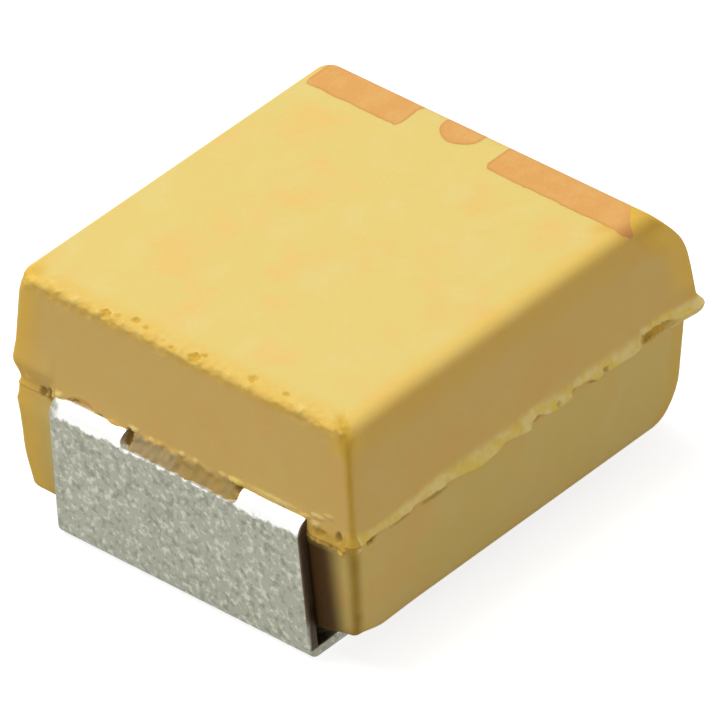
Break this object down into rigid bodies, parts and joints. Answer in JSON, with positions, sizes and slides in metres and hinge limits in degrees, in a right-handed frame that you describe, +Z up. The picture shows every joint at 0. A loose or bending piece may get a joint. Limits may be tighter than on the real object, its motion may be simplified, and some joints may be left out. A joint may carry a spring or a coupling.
{
  "type": "tantalum capacitor",
  "caption": "Surface-mount moulded chip capacitor: drafted yellow epoxy block with a bevelled positive end, an orange polarity mark and folded tinned end terminals.",
  "frame": {"origin": "middle of the footprint, on the board plane under the two solder feet", "axes": "+X towards the positive end with the bevel and the polarity mark, +Z up from the board"},
  "size_m": [0.0036, 0.003, 0.0019],
  "materials": {
    "case_epoxy": "matt, filled moulding compound",
    "tinned_sheet": "matt tin, grainy",
    "mark_ink": "matt ink",
    "sintered_tantalum": "dull, porous",
    "tantalum_wire": "drawn wire",
    "white_ptfe": "waxy",
    "manganese_dioxide": "matt black crust",
    "graphite": "dull grey-black",
    "silver_paint": "flat silver paint",
    "silver_paste": "cured silver paste"
  },
  "bodies": {
    "root": {"moulded_case": "case_epoxy", "cathode_terminal": "tinned_sheet", "anode_terminal": "tinned_sheet", "polarity_mark": "mark_ink", "anode_pellet": "sintered_tantalum", "riser_wire": "tantalum_wire", "wire_washer": "white_ptfe", "dioxide_coat": "manganese_dioxide", "graphite_coat": "graphite", "silver_coat": "silver_paint", "silver_adhesive": "silver_paste"}
  },
  "joints": []
}
